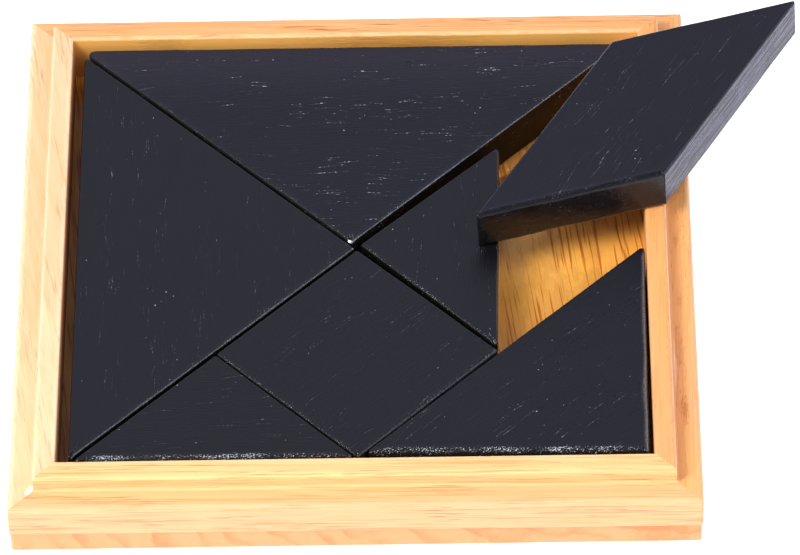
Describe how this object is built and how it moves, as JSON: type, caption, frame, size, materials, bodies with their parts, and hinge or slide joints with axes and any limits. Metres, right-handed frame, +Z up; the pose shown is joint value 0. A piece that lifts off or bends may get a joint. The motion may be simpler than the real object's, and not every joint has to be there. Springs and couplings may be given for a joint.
{
  "type": "tangram puzzle",
  "caption": "Square wooden tray with a stepped, mitred frame, filled with black tangram triangles and a square, and a parallelogram lifted out across the rim.",
  "frame": {"origin": "the middle of the tray's underside", "axes": "+X to the right, towards the side that the lifted piece overhangs, +Y to the far side, +Z up out of the tray"},
  "size_m": [0.1522, 0.13, 0.0255],
  "materials": {
    "board_wood": "satin",
    "rail_wood": "satin",
    "black_stained_wood": "satin black paint over open grain"
  },
  "bodies": {
    "root": {"base_board": "board_wood", "rail_front": "rail_wood", "rail_right": "rail_wood", "rail_back": "rail_wood", "rail_left": "rail_wood", "large_triangle_back": "black_stained_wood", "large_triangle_left": "black_stained_wood", "small_triangle_front": "black_stained_wood", "square_piece": "black_stained_wood", "small_triangle_right": "black_stained_wood", "medium_triangle": "black_stained_wood", "parallelogram_piece": "black_stained_wood"}
  },
  "joints": []
}
